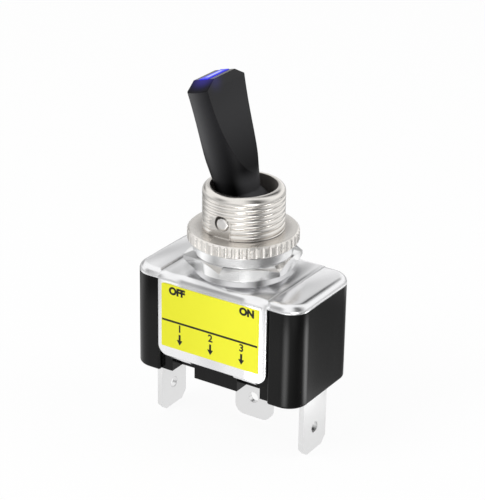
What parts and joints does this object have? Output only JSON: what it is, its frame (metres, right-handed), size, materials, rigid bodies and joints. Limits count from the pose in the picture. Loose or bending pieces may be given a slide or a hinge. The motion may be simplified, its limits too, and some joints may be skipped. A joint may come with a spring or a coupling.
{
  "type": "panel toggle switch",
  "caption": "Lever-operated on/off panel switch with a lit lever tip, a threaded bushing for a round panel hole and flat tab terminals.",
  "frame": {"origin": "on the bushing's axis, at the top of the frame's raised seat, where the hex nut lies", "axes": "+Z along the bushing towards the lever's tip, +X along the body towards the ground terminal, +Y away from the label"},
  "size_m": [0.0284, 0.0172, 0.0549],
  "materials": {
    "black_plastic": "moulded black plastic, satin",
    "black_moulding": "moulded black thermoset, glossy",
    "lit_window": "clear blue window, lit",
    "lamp_resin": "clear resin",
    "nickel": "bright nickel plate",
    "plated_sheet": "bright zinc-plated steel sheet",
    "steel": "plain bright steel",
    "tinned_brass": "tin-plated brass",
    "contact_metal": "silver alloy",
    "brass": "plain",
    "fibre_card": "vulcanised fibre",
    "resistor_lacquer": "lacquered",
    "yellow_vinyl": "printed sticker"
  },
  "bodies": {
    "body": {"bushing": "nickel", "hex_nut": "nickel", "collar": "nickel", "knurled_nut": "nickel", "frame": "plated_sheet", "housing": "black_moulding", "insulator": "fibre_card", "power_terminal": "tinned_brass", "load_terminal": "tinned_brass", "ground_terminal": "tinned_brass", "fixed_contact": "contact_metal", "led_resistor": "resistor_lacquer", "label": "yellow_vinyl", "pivot_pin_front": "steel", "pivot_pin_rear": "steel"},
    "lever": {"lever": "black_plastic", "lens": "lit_window", "led_lamp": "lamp_resin", "led_feed_lead": "tinned_brass", "led_ground_lead": "tinned_brass", "plunger_spring": "steel"},
    "plunger": {"plunger": "steel"},
    "rocker": {"contact_rocker": "brass", "moving_contact": "contact_metal"}
  },
  "joints": [
    {"name": "lever_tilt", "type": "hinge", "parent": "body", "child": "lever", "pos_m": [0, 0, 0.00775], "axis": [0, 1, 0], "range_deg": [0, 30]},
    {"name": "plunger_slide", "type": "slide", "parent": "lever", "child": "plunger", "axis": [-0.2588, 0, 0.9659], "range_m": [0, 0.0012], "stiffness_N_per_m": 400, "deforming": ["plunger_spring"]},
    {"name": "rocker_tilt", "type": "hinge", "parent": "body", "child": "rocker", "pos_m": [0, 0, -0.00915], "axis": [0, 1, 0], "range_deg": [-16, 0]}
  ],
  "couplings": [
    {"joint": "rocker_tilt", "follows": "lever_tilt", "ratio": -0.53333}
  ]
}
